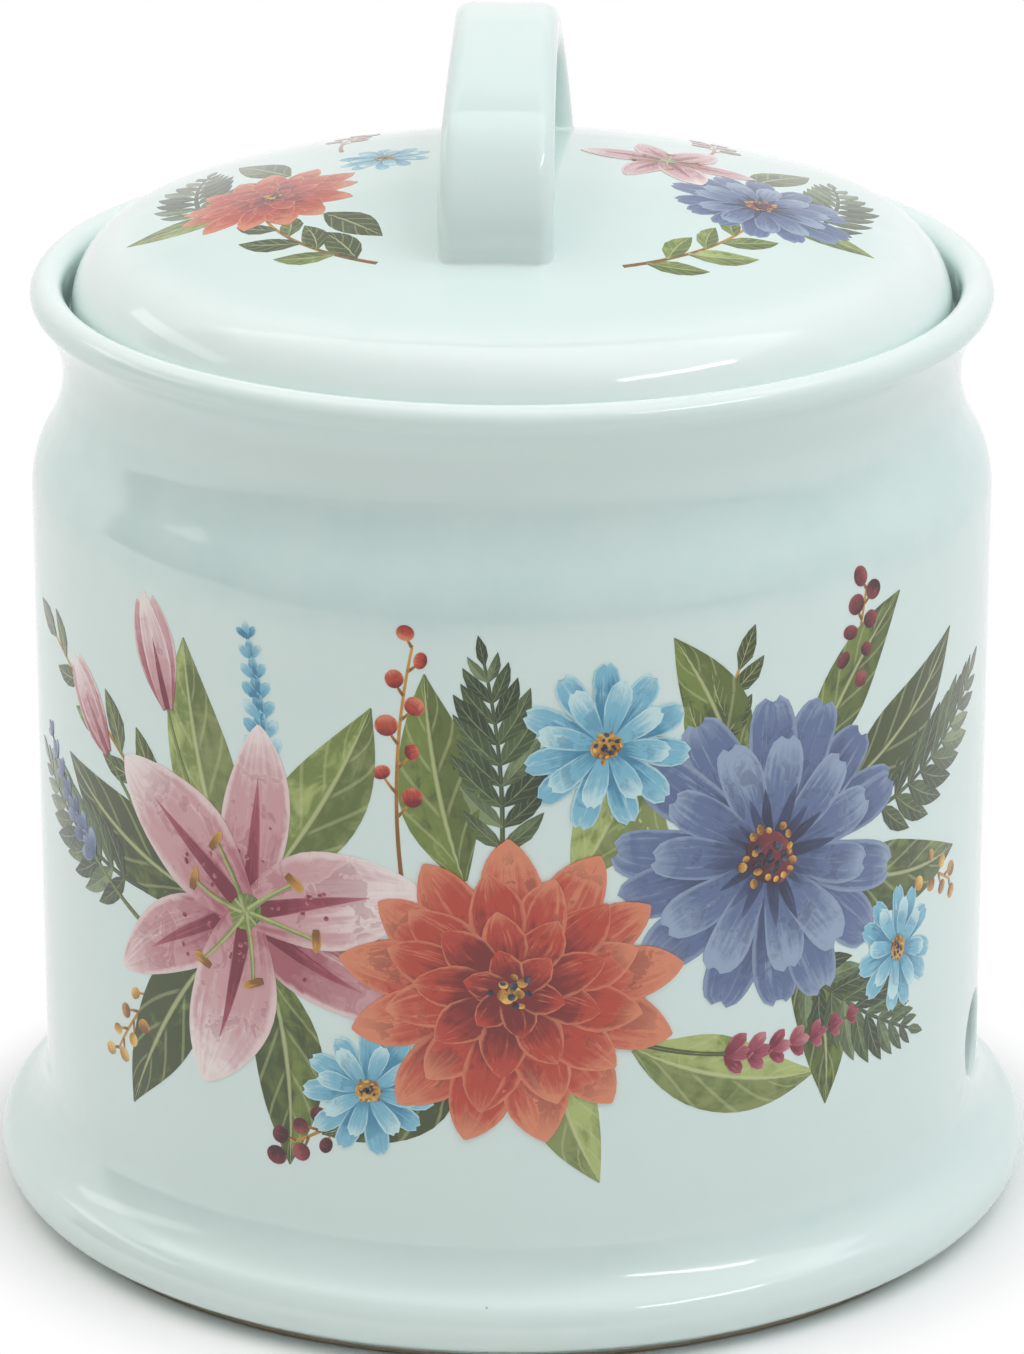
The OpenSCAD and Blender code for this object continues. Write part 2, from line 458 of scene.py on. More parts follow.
crockMesh = spinOutline(crockOutline(crockForm, ventForm), crockForm["turns"])
for bearing in ventForm["bearings"]:
    cutVent(crockMesh, crockForm, ventForm, bearing)
bmesh.ops.recalc_face_normals(crockMesh, faces=crockMesh.faces)
crockGlaze = makeGlaze("crockGlaze", crockForm["poolsAndShade"], crockForm["thinsAndLight"], crockForm["bareBelow"])
crock = finishPiece("crock_body", crockMesh, crockGlaze, "crock")
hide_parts("crock")


# lid

lidForm = {
    "gap": 1.3,
    "domeR": 200.0,
    "edge": 13.0,
    "footEdge": 2.3,
    "thick": 5.5,
    "collarGap": 1.3,
    "collar": 4.5,
    "collarDrop": 9.0,
    "collarSoft": 1.0,
    "hollowCurve": 5.0,
    "turns": 288,
    # painted shade round the lid's lower edge, where it sits down in the crock's mouth
    "poolsAndShade": ((156.0, 3.0, 0.0, 0.5),),
    # the lid's rounded edge lighter: painted light, with some thin glaze
    "thinsAndLight": ((166.0, 7.0, 0.4, 0.9),),
}


def lidOutline(c, f):
    lidR = c["mouthR"] - f["gap"]
    edgeC = lidR - f["edge"]
    edgeZ = c["seatZ"] + f["footEdge"]
    domeTurn = asin(edgeC / (f["domeR"] - f["edge"]))
    domeZ = edgeZ - (f["domeR"] - f["edge"]) * cos(domeTurn)
    collarR = c["throatR"] - f["collarGap"]
    collarRound = f["collar"] / 2
    collarZ = c["seatZ"] - f["collarDrop"] + collarRound
    hollowR = f["domeR"] - f["thick"]
    hollowC = collarR - f["collar"] - f["hollowCurve"]
    hollowTurn = asin(hollowC / (hollowR - f["hollowCurve"]))
    hollowZ = domeZ + (hollowR - f["hollowCurve"]) * cos(hollowTurn)
    f.update(domeZ=domeZ, edgeC=edgeC, edgeZ=edgeZ, domeEnd=f["domeR"] * sin(domeTurn))
    domeTurn = degrees(domeTurn)
    hollowTurn = degrees(hollowTurn)
    line = [(0, domeZ + f["domeR"])]
    line += arcPoints(0, domeZ, f["domeR"], 90, 90 - domeTurn, 30)
    line += arcPoints(edgeC, edgeZ, f["edge"], 90 - domeTurn, 0, 18)
    line += arcPoints(lidR - f["footEdge"], edgeZ, f["footEdge"], 0, -90, 8)
    line += softCorner((lidR, c["seatZ"]), (collarR, c["seatZ"]), (collarR, collarZ), f["collarSoft"])
    line += [(collarR, collarZ)]
    line += arcPoints(collarR - collarRound, collarZ, collarRound, 0, -180, 14)
    line += [(collarR - f["collar"], collarZ + (hollowZ - collarZ) * i / 4) for i in range(1, 5)]
    line += arcPoints(hollowC, hollowZ, f["hollowCurve"], 0, 90 - hollowTurn, 8)
    line += arcPoints(0, domeZ, hollowR, 90 - hollowTurn, 90, 20)
    return line


def domeHeight(f, x, y):
    # height of the lid's outside, on the dome or on its rounded edge
    r = hypot(x, y)
    if r <= f["domeEnd"]:
        return f["domeZ"] + sqrt(f["domeR"] ** 2 - r ** 2)
    return f["edgeZ"] + sqrt(max(f["edge"] ** 2 - (r - f["edgeC"]) ** 2, 0))


lidMesh = spinOutline(lidOutline(crockForm, lidForm), lidForm["turns"])
lidGlaze = makeGlaze("lidGlaze", lidForm["poolsAndShade"], lidForm["thinsAndLight"])
lid = finishPiece("lid_dome", lidMesh, lidGlaze, "lid")
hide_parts("lid")


# handle

handleLow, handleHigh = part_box("lid_handle")

handleForm = {
    "span": (handleHigh.y - handleLow.y) / mm,
    "top": handleHigh.z / mm,
    "width": 19.0,
    "thick": 7.0,
    "edge": 3.0,
    "bend": 20.0,
    "crown": 75.0,
    "crownWidth": 0.92,  # the strap narrows towards its crown
    "shift": -0.7,  # it was not quite true when it was fired
    "twist": -3.2,  # and its far bend leans the most
    "fillet": 0.6,  # slip smoothed round its feet
    "filletSteps": 7,
    "sink": 0.3,  # its feet end inside the dome
    "cornerStep": 15,  # degrees
    "flatCuts": 7,
    "bendSteps": 22,
    "crownSteps": 26,
    # the crown of the strap lighter, partly thin glaze and partly painted light, and a painted highlight
    # line along its feet
    "thinsAndLight": ((handleHigh.z / mm, 3.0, 0.0, 0.3), (177.0, 2.0, 0.4, 0.4)),
}


def makeHandle(f, dome):
    bendY = f["span"] / 2 - f["bend"]
    crownTurn = asin(bendY / (f["crown"] - f["bend"]))
    crownZ = f["top"] - f["crown"]
    bendZ = crownZ + (f["crown"] - f["bend"]) * cos(crownTurn)
    legY = f["span"] / 2 - f["thick"] / 2
    flatX = f["width"] / 2 - f["edge"]
    flatY = f["thick"] / 2 - f["edge"]
    section = []
    step = f["cornerStep"]
    corners = ((flatX, flatY, 0), (-flatX, flatY, 90), (-flatX, -flatY, 180), (flatX, -flatY, 270))
    for x, y, start in corners:
        section += arcPoints(x, legY + y, f["edge"], start - step, start + 90, 90 // step + 1)
    bm = bmesh.new()
    verts = [bm.verts.new((x * mm, y * mm, bendZ * mm)) for x, y in section]
    loop = [bm.edges.new(pair) for pair in zip(verts, verts[1:] + verts[:1])]
    flats = [e for e in loop if e.calc_length() > flatX * mm]
    bmesh.ops.subdivide_edges(bm, edges=flats, cuts=f["flatCuts"])

    # up one bend, over the crown and down the other
    bendTurn = pi / 2 - crownTurn
    edges = list(bm.edges)
    bends = (
        (bendY, bendZ, bendTurn, f["bendSteps"]),
        (0, crownZ, 2 * crownTurn, f["crownSteps"]),
        (-bendY, bendZ, bendTurn, f["bendSteps"]),
    )
    for y, z, turn, steps in bends:
        geom = edges + list({vert for e in edges for vert in e.verts})
        about = {"cent": (0, y * mm, z * mm), "axis": (1, 0, 0), "angle": turn, "steps": steps}
        last = bmesh.ops.spin(bm, geom=geom, **about)["geom_last"]
        edges = [g for g in last if isinstance(g, bmesh.types.BMEdge)]

    # down each leg and out on to the dome
    for leg in (legY, -legY):
        loop = [e for e in bm.edges if e.is_boundary and e.verts[0].co.y * leg > 0]
        rings = [(0.0, None, 0.5), (0.0, None, 1.0)]
        for i in range(1, f["filletSteps"] + 1):
            t = pi / 2 * i / f["filletSteps"]
            rings.append((f["fillet"] * (1 - cos(t)), f["fillet"] * (1 - sin(t)), 1.0))
        rings.append((f["fillet"], -f["sink"], 1.0))
        for spread, lift, share in rings:
            def place(co):
                x, y = co.x / mm, co.y / mm - leg
                core = Vector((max(-flatX, min(flatX, x)), max(-flatY, min(flatY, y))))
                away = (Vector((x, y)) - core).normalized() * (f["edge"] + spread)
                x, y = core.x + away.x, core.y + away.y + leg
                foot = domeHeight(dome, x, y) + (f["fillet"] if lift is None else lift)
                return Vector((x, y, bendZ + (foot - bendZ) * share)) * mm
            loop = drawLoop(bm, loop, place)
        bmesh.ops.edgeloop_fill(bm, edges=loop)

    # narrow its crown, and lean it as it was fired
    footZ = domeHeight(dome, 0, legY)
    for vert in bm.verts:
        low = min(abs(vert.co.y) / (legY * mm), 1) ** 2
        high = max(vert.co.z / mm - footZ, 0) / (f["top"] - footZ)
        far = vert.co.y / mm / f["span"] + 0.5
        vert.co.x *= f["crownWidth"] + (1 - f["crownWidth"]) * low
        vert.co.x += (f["shift"] + f["twist"] * high * far ** 3) * mm
    bmesh.ops.recalc_face_normals(bm, faces=bm.faces)
    return bm


handleGlaze = makeGlaze("handleGlaze", (), handleForm["thinsAndLight"])
handle = finishPiece("lid_strap", makeHandle(handleForm, lidForm), handleGlaze, "lid")
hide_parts("lid_handle")


# print

printForm = {
    "base": 0.05,  # top of the film over the glaze
    "layer": 0.03,  # each coat of colour over the last
    "lean": 0.012,  # one edge of a petal over its neighbour
    "depth": 0.9,  # the film sinks into the glaze by the rest
    "cell": (2.7, 2.1),  # widest facet of a film, across a petal and along it
    "toneSpread": 0.18,
    "waver": 0.07,  # unevenness of a petal's sides
}

colourSets = {
    # deep, middle, pale
    "coral": ("7d1f1d", "bd4330", "e08b68"),
    "blue": ("404e72", "60729a", "98aac4"),
    "navy": ("252c4a", "38446a", "566488"),
    "pink": ("ab5f6a", "d2a0a4", "f4e6e2"),
    "rose": ("7c2337", "a2485a", "c6818a"),
    "turquoise": ("3f86a8", "7dbbd2", "c9e8ea"),
    "wine": ("451820", "762a33", "a34f4f"),
    "ochre": ("8a5a22", "c78f38", "ecc062"),
    "ink": ("1d1f29", "33364a", "5c6072"),
}

leafSets = {
    # deep, middle, pale, rib
    "leaf": ("435128", "788a41", "b2bf76", "cdd39b"),
    "fern": ("33422b", "54673f", "83956a", "9aa77c"),
}

petalLook = {
    "streaks": (9, 1.3, 30),  # across a petal, along it, and from one to the next
    "grit": 0.65,
    "washScale": 160.0,
    "wet": 1.0,
    "spread": 0.8,  # how far streaks, wash and tone shift its colours along it
    "middle": (0.05, 0.5),  # where deep turns middle, and middle turns pale
    "pale": (0.55, 1.15),
    "stroke": (0.57, 0.64),  # dry strokes of the brush
    "strokeSpan": (0.6, 0.4),
    "strokeShare": 0.55,
    "blot": (0.56, 0.6),  # and blots where the wash stood wet
    "blotEnd": (0.5, 0.95),
    "blotShare": 0.5,
    "edge": (0.8, 0.94),
    "edgeStart": (0.12, 0.35),
    "edgeShare": 0.6,
    "ragged": 0.3,
}

leafLook = {
    "streaks": (7, 2, 30),
    "grit": 0.6,
    "washScale": 170.0,
    "wet": 0.8,
    "spread": (1.2, 0.6, 0.9),  # by wash, streaks and tone
    "middle": (0.15, 0.55),
    "pale": (0.6, 1.0),
    "shade": (0.47, 0.53),  # one half of the blade is darker
    "shadeShare": 0.5,
    "ragged": 0.12,
    "veins": (34, 9),  # how close they lie, and how far they slant
    "vein": (0.8, 1.0),
    "veinStart": (0.05, 0.2),
    "veinShare": 0.3,
    "rib": (0.02, 0.09),
    "ribShare": 0.65,
}


def startPrint(name, codes, look):
    # a paint, its colours, its spot on a petal, and how it dried
    paint = newPaint(name)
    uv = paint.coordinates("UV")
    place = paint.coordinates("Object")
    u, v = paint.part(uv, "X"), paint.part(uv, "Y")
    tone = paint.node("ShaderNodeAttribute", {"attribute_name": "tone"}, {}, 2)
    across, along, apart = look["streaks"]
    streak = paint.noise(paint.join(u * across, v * along, tone * apart), 1.0, 4.0, look["grit"])
    wash = paint.noise(place, look["washScale"], 4.0, 0.6, look["wet"])
    colours = [tint(code) for code in codes]
    return paint, colours, u, v, tone, streak, wash, glazeWaves(paint, place)


def deepToPale(paint, along, look, deep, middle, pale):
    colour = paint.mix(along.rise(*look["middle"]), deep, middle)
    return paint.mix(along.rise(*look["pale"]), colour, pale)


def makePetalPaint(name, *codes):
    k = petalLook
    paint, colours, u, v, tone, streak, wash, waves = startPrint(name, codes, k)
    deep, middle, pale = colours
    side = abs(u - 0.5) * 2
    spread = k["spread"]
    along = v + (streak - 0.5) * spread + (wash - 0.5) * spread + (tone - 0.5) * spread
    colour = deepToPale(paint, along, k, deep, middle, pale)
    stroke = streak.rise(*k["stroke"]) * v.band(*k["strokeSpan"])
    colour = paint.mix(stroke * k["strokeShare"], colour, pale)
    blot = (wash + (streak - 0.5) * k["ragged"]).rise(*k["blot"]) * (1 - v.rise(*k["blotEnd"]))
    colour = paint.mix(blot * k["blotShare"], colour, deep)
    edge = (side + (wash - 0.5) * k["ragged"]).rise(*k["edge"]) * v.rise(*k["edgeStart"])
    colour = paint.mix(edge * k["edgeShare"], colour, pale)
    return glazeOver(paint, colour, glazeForm["printGloss"], waves)


def makeLeafPaint(name, *codes):
    k = leafLook
    paint, colours, u, v, tone, streak, wash, waves = startPrint(name, codes, k)
    deep, middle, pale, rib = colours
    side = abs(u - 0.5) * 2
    byWash, byStreak, byTone = k["spread"]
    along = (wash - 0.5) * byWash + (streak - 0.5) * byStreak + (tone - 0.5) * byTone + 0.5
    colour = deepToPale(paint, along, k, deep, middle, pale)
    shade = (u + (wash - 0.5) * k["ragged"]).rise(*k["shade"])
    colour = paint.mix(shade * k["shadeShare"], colour, deep)
    close, slant = k["veins"]
    ridge = v * close - side * slant
    vein = ridge.maths("SINE", ridge, 0.0).rise(*k["vein"]) * side.rise(*k["veinStart"])
    colour = paint.mix(vein * k["veinShare"], colour, rib)
    colour = paint.mix((1 - side.rise(*k["rib"])) * k["ribShare"], colour, rib)
    return glazeOver(paint, colour, glazeForm["printGloss"], waves)


sprigForm = {
    "stalk": 0.9,  # width of a stalk at its foot
    "taper": 0.45,  # what it loses by its tip
    "fernBare": 0.16,  # share of a fern below its first leaves
    "fernLeaf": (0.3, 0.34),  # longest leaf as a share of the fern, and its width as one of the leaf
    "fernTip": (0.14, 0.05),
    "fernLean": (62, 26),  # degrees from the stalk at its foot, and what they lose by its tip
    "fernBend": 22,
    "branchLeaf": (11.0, 4.6),
    "branchLean": 42,
    "branchBend": 24,
    "berryStalk": 0.8,
    "berryTwig": (0.6, 4.4),  # width and longest reach
    "berryLean": 48,
    "berryBend": 20,
    "spikeBud": (4.2, 0.56),  # largest bud, and its width as a share of it
    "spikeLean": 46,
    "budStalk": 1.1,
}

# outlines of petals, from foot to tip; what one does not say is in petal()
petalForms = {
    "leaf": {"base": 0.12, "widest": 0.42, "point": 1.1, "tip": 0.02, "ruffle": 0.0},
    "dahlia": {"base": 0.5, "widest": 0.5, "point": 0.85},
    "aster": {"base": 0.4, "widest": 0.68, "tip": 0.3, "notch": 0.04},
    "throat": {"widest": 0.3, "point": 1.0},
    "lily": {"widest": 0.46, "point": 0.78, "ruffle": 0.0},
    "rib": {"base": 0.8, "widest": 0.2, "point": 1.2},
    "anther": {"base": 0.6, "widest": 0.5, "point": 0.6},
    "bud": {"base": 0.4, "widest": 0.5, "point": 0.85},
    "spike": {"base": 0.4, "widest": 0.55, "point": 0.6},
}


def arcSpot(spot, turn, length, bend, share):
    # a point on an arc that leaves spot, and its heading; turns are degrees clockwise from up
    start = radians(turn)
    sweep = radians(bend) * share
    if abs(bend) < 0.1:
        x, y = 0.0, length * share
    else:
        r = length / radians(bend)
        x, y = r * (1 - cos(sweep)), r * sin(sweep)
    s, c = sin(start), cos(start)
    return spot[0] + x * c + y * s, spot[1] - x * s + y * c, start + sweep


class Spray:
    def __init__(self, name, body, wrap, paints, seed, side=1, coats=1.0):
        self.name = name
        self.body = body
        self.wrap = wrap
        self.paints = paints
        self.films = {}
        self.rng = random.Random(seed)
        self.draw = self.rng.uniform
        self.side = side  # -1 mirrors it
        self.coats = coats  # how thick its coats are
        self.tilt = None  # centre, bearing and share of a bloom seen aslant

    def film(self, paint):
        if paint not in self.films:
            self.films[paint] = bmesh.new()
            self.films[paint].loops.layers.uv.new("UVMap")
            self.films[paint].verts.layers.float.new("tone")
        return self.films[paint]

    def lay(self, paint, verts, shape, tone, layer):
        bm = self.film(paint)
        mark = bm.verts.layers.float["tone"]
        spread = printForm["toneSpread"]
        tone = self.rng.random() if tone is None else tone + self.draw(-spread, spread)
        for vert in verts:
            x, y, over = shape(vert.co.x, vert.co.y)
            if self.tilt:
                (cx, cy), bearing, share = self.tilt
                s, c = sin(radians(bearing)), cos(radians(bearing))
                short = ((x - cx) * s + (y - cy) * c) * (share - 1)
                x, y = x + short * s, y + short * c
            lift = printForm["base"] + printForm["layer"] * layer + printForm["lean"] * over
            vert.co = self.wrap(x * self.side, y, lift * self.coats)
            vert[mark] = tone
        if self.side < 0:
            faces = {face for vert in verts for face in vert.link_faces}
            bmesh.ops.reverse_faces(bm, faces=list(faces))

    def patch(self, paint, shape, cells, tone, layer):
        bm = self.film(paint)
        size = {"x_segments": cells[0], "y_segments": cells[1], "size": 1.0}
        grid = bmesh.ops.create_grid(bm, calc_uvs=True, **size)
        self.lay(paint, grid["verts"], lambda x, y: shape(x, (y + 1) / 2), tone, layer)

    def dot(self, paint, spot, r, layer, tone=None):
        bm = self.film(paint)
        size = {"segments": 9 if r < 1 else 18, "radius": 1.0}
        disc = bmesh.ops.create_circle(bm, cap_ends=True, cap_tris=True, calc_uvs=True, **size)
        a = self.draw(0, tau)
        k = self.draw(0.75, 1.0)

        def shape(x, y):
            along = x * cos(a) - k * y * sin(a)
            across = x * sin(a) + k * y * cos(a)
            return spot[0] + r * along, spot[1] + r * across, 0
        self.lay(paint, disc["verts"], shape, tone, layer)

    def petal(self, paint, spot, turn, length, width, layer, start=0.0, base=0.35, widest=0.6,
              point=0.5, tip=0.04, bend=0.0, notch=0.0, ruffle=0.02, tone=None):
        phases = [self.draw(0, tau) for i in range(2)]
        head = radians(turn)
        spot = (spot[0] + start * sin(head), spot[1] + start * cos(head))

        def shape(u, v):
            along = (v + sin(v * pi / 2)) / 2
            if along < widest:
                k = base + (1 - base) * sin(along / widest * pi / 2)
            else:
                k = tip + (1 - tip) * max(1 - ((along - widest) / (1 - widest)) ** 2, 0.0) ** point
            half = width / 2 * k * (1 + printForm["waver"] * sin(along * 6 + phases[0] + 2 * u))
            x, y, way = arcSpot(spot, turn, length, bend, along)
            frill = ruffle * k * cos(5 * u + phases[1])
            reach = along ** 4 * length * (frill - notch * (1 - u * u))
            x += u * half * cos(way) + reach * sin(way)
            y += -u * half * sin(way) + reach * cos(way)
            return x, y, u
        across, down = printForm["cell"]
        cells = max(2, ceil(width / across)), max(4, ceil(length / down))
        self.patch(paint, shape, cells, tone, layer)

    def leaf(self, spot, turn, length, width, layer, bend=0.0, paint="leaf"):
        self.petal(paint, spot, turn, length, width, layer, bend=bend, **petalForms["leaf"])

    def stem(self, paint, line, width, layer, tone):
        # a line has the start, turn, length and bend of a stalk
        def shape(u, v):
            x, y, way = arcSpot(*line, v)
            half = width / 2 * (1 - sprigForm["taper"] * v)
            return x + u * half * cos(way), y - u * half * sin(way), 0
        self.patch(paint, shape, (1, max(6, int(line[2] / 2))), tone, layer)

    def ring(self, kind, paint, spot, size, count, layer, shares, turn=0.0, jitter=5.0, vary=0.06,
             tone=None):
        # shares of size: where petals start, how long they are and how wide
        start, length, width = (share * size for share in shares)
        form = {"start": start, "tone": tone, **petalForms[kind]}
        for i in range(count):
            way = turn + 360 * i / count + self.draw(-jitter, jitter)
            k = 1 + self.draw(-vary, vary)
            self.petal(paint, spot, way, length * k, width * k, layer, **form)

    def seeds(self, paint, spot, inner, outer, count, r, layer):
        for i in range(count):
            a = tau * (i + self.draw(-0.3, 0.3)) / count
            d = self.draw(inner, outer)
            seed = (spot[0] + d * sin(a), spot[1] + d * cos(a))
            self.dot(paint, seed, r * self.draw(0.7, 1.2), layer)

    def dahlia(self, paint, spot, size, layer, tilt=None):
        self.tilt = tilt and (spot,) + tilt
        # petals, shares and tone of each ring
        rings = (
            (13, (0.30, 0.70, 0.37), 0.8),
            (12, (0.20, 0.60, 0.33), 0.55),
            (9, (0.10, 0.46, 0.28), 0.35),
            (6, (0.0, 0.30, 0.21), 0.1),
        )
        for number, (count, shares, tone) in enumerate(rings):
            self.ring("dahlia", paint, spot, size, count, layer + number, shares, number * 15, tone=tone)
        self.seeds("ochre", spot, 0.0, 0.11 * size, 10, 0.034 * size, layer + 4)
        self.seeds("ink", spot, 0.02 * size, 0.13 * size, 7, 0.024 * size, layer + 5)
        self.tilt = None

    def aster(self, paint, spot, size, layer, tilt=None, petals=14, eye="wine", throat=None):
        self.tilt = tilt and (spot,) + tilt
        outer, inner, dark = (0.14, 0.86, 0.34), (0.12, 0.66, 0.28), (0.1, 0.3, 0.07)
        self.ring("aster", paint, spot, size, petals, layer, outer, tone=0.3)
        self.ring("aster", paint, spot, size, petals - 3, layer + 1, inner, 11, tone=0.75)
        if throat:
            self.ring("throat", throat, spot, size, petals + 2, layer + 2, dark, jitter=9, vary=0.3)
        self.dot(eye, spot, 0.19 * size, layer + 3, 0.4)
        self.seeds("ochre", spot, 0.1 * size, 0.21 * size, 17, 0.03 * size, layer + 4)
        self.seeds("ink", spot, 0.0, 0.14 * size, 13, 0.027 * size, layer + 5)
        self.tilt = None

    def lily(self, spot, turn, size, layer, tilt=None):
        self.tilt = tilt and (spot,) + tilt
        for number, width in enumerate((0.38, 0.5)):
            for i in range(3):
                way = turn + 60 * number + 120 * i + self.draw(-6, 6)
                bend = self.rng.choice((-1, 1)) * self.draw(8, 18)
                length = size * self.draw(0.94, 1.04)
                step = layer + number * 2
                form = {"bend": bend, "tone": 0.45 + 0.3 * number, **petalForms["lily"]}
                self.petal("pink", spot, way, length, width * size, step, **form)
                # a deep rib up each petal, and freckles beside it
                rib = 0.72
                form = {"bend": bend * rib, "tone": 0.3, "ruffle": 0.0, **petalForms["rib"]}
                self.petal("rose", spot, way, length * rib, size * 0.085, step + 1, **form)
                for freckle in range(9):
                    at = length * self.draw(0.16, 0.5)
                    lean = radians(way + bend * 0.3 + self.draw(-15, 15))
                    place = (spot[0] + at * sin(lean), spot[1] + at * cos(lean))
                    self.dot("rose", place, size * self.draw(0.009, 0.016), step + 1)
        self.dot("leaf", spot, size * 0.1, layer + 4, 0.7)
        # stamens
        for i in range(6):
            way = turn + 32 + 60 * i + self.draw(-9, 9)
            reach = size * self.draw(0.32, 0.42)
            bend = self.draw(-30, 30)
            line = (spot, way, reach, bend)
            self.stem("leaf", line, size * 0.03, layer + 5, 0.9)
            x, y, way = arcSpot(*line, 1.0)
            way = degrees(way) + 70
            form = {"start": -size * 0.06, "tone": 0.3, **petalForms["anther"]}
            self.petal("ochre", (x, y), way, size * 0.12, size * 0.05, layer + 6, **form)
        self.tilt = None

    def bud(self, line, size):
        # a closed lily on its stalk
        self.stem("leaf", line, sprigForm["budStalk"], 1, 0.4)
        x, y, way = arcSpot(*line, 1.0)
        way = degrees(way)
        for lean, k, tone, layer in ((-13, 0.94, 0.2, 2), (13, 0.96, 0.3, 2), (0, 1.0, 0.8, 3)):
            form = {"bend": -lean, "tone": tone, **petalForms["bud"]}
            self.petal("pink", (x, y), way + lean, size * k, size * 0.3, layer, **form)
        self.petal("rose", (x, y), way, size * 0.6, size * 0.07, 4, **petalForms["rib"])

    def frond(self, line, pairs):
        f = sprigForm
        longest, wide = f["fernLeaf"]
        lean, less = f["fernLean"]
        self.stem("fern", line, f["stalk"], 0, 0.2)
        for i in range(pairs):
            share = f["fernBare"] + (1 - f["fernBare"]) * i / pairs
            x, y, way = arcSpot(*line, share)
            swell = sin(pi * (0.2 + 0.72 * share))
            size = line[2] * longest * swell * self.draw(0.9, 1.1)
            for side in (-1, 1):
                head = degrees(way) + side * (lean - less * share)
                self.leaf((x, y), head, size, size * wide, 0.4, -side * f["fernBend"], "fern")
        x, y, way = arcSpot(*line, 0.98)
        length, width = (line[2] * share for share in f["fernTip"])
        self.leaf((x, y), degrees(way), length, width, 0.4, paint="fern")

    def branch(self, line, leaves):
        f = sprigForm
        length, width = f["branchLeaf"]
        self.stem("ochre", line, f["stalk"], 0, 0.1)
        for i in range(leaves):
            share = (i + 1) / leaves
            x, y, way = arcSpot(*line, share)
            side = (-1 if i % 2 else 1) * (0 if i == leaves - 1 else 1)
            k = self.draw(0.85, 1.15) * (1.1 - 0.3 * share)
            head = degrees(way) + side * f["branchLean"]
            self.leaf((x, y), head, length * k, width * k, 0.5, -side * f["branchBend"])

    def berries(self, line, count, paint="wine", r=1.7):
        f = sprigForm
        width, longest = f["berryTwig"]
        self.stem("ochre", line, f["berryStalk"], 0, 0.1)
        for i in range(count):
            share = 0.3 + 0.7 * (i + 1) / count
            x, y, way = arcSpot(*line, share)
            side = -1 if i % 2 else 1
            head = degrees(way) + side * f["berryLean"]
            twig = ((x, y), head, longest * (1.15 - share * 0.6), -side * f["berryBend"])
            self.stem("ochre", twig, width, 0, 0.2)
            self.dot(paint, arcSpot(*twig, 1.1)[:2], r * self.draw(0.8, 1.15), 1)

    def spike(self, paint, line, rows):
        # small buds in threes up a stalk
        f = sprigForm
        largest, wide = f["spikeBud"]
        self.stem("leaf", line, f["stalk"], 1, 0.3)
        for i in range(rows):
            share = 0.4 + 0.6 * i / (rows - 1)
            x, y, way = arcSpot(*line, share)
            k = largest * (1.15 - 0.55 * i / (rows - 1))
            for side in (-1, 0, 1):
                head = degrees(way) + side * f["spikeLean"]
                tall = k * (1 if side else 1.1)
                self.petal(paint, (x, y), head, tall, k * wide, 2, **petalForms["spike"])

    def finish(self):
        for paint, bm in sorted(self.films.items()):
            # a crisp rim, so that the gloss runs flat across the print
            for edge in bm.edges:
                edge.smooth = not edge.is_boundary
            piece = finishPiece(self.name + "_" + paint, bm, self.paints[paint], self.body)
            film = piece.modifiers.new("film", "SOLIDIFY")
            film.thickness = printForm["depth"] * mm
            film.offset = -1.0


printPaints = {name: makePetalPaint(name + "Print", *codes) for name, codes in colourSets.items()}
printPaints.update({name: makeLeafPaint(name + "Print", *codes) for name, codes in leafSets.items()})


def onWall(facing):
    # flat prints are x round the wall from its facing, y up from the table
    def wrap(x, y, lift):
        r, curve = crockForm["wallR"], crockForm["shoulderCurve"]
        a = x / r + radians(facing)
        up = max(y - crockForm["shoulderZ"], 0)
        r += lift - curve + sqrt(curve ** 2 - up ** 2)
        return Vector((r * sin(a), -r * cos(a), y)) * mm
    return wrap


def onDome(x, y, lift):
    centre = Vector((0, 0, lidForm["domeZ"]))
    away = Vector((x, y, domeHeight(lidForm, x, y))) - centre
    return (centre + away * (1 + lift / away.length)) * mm


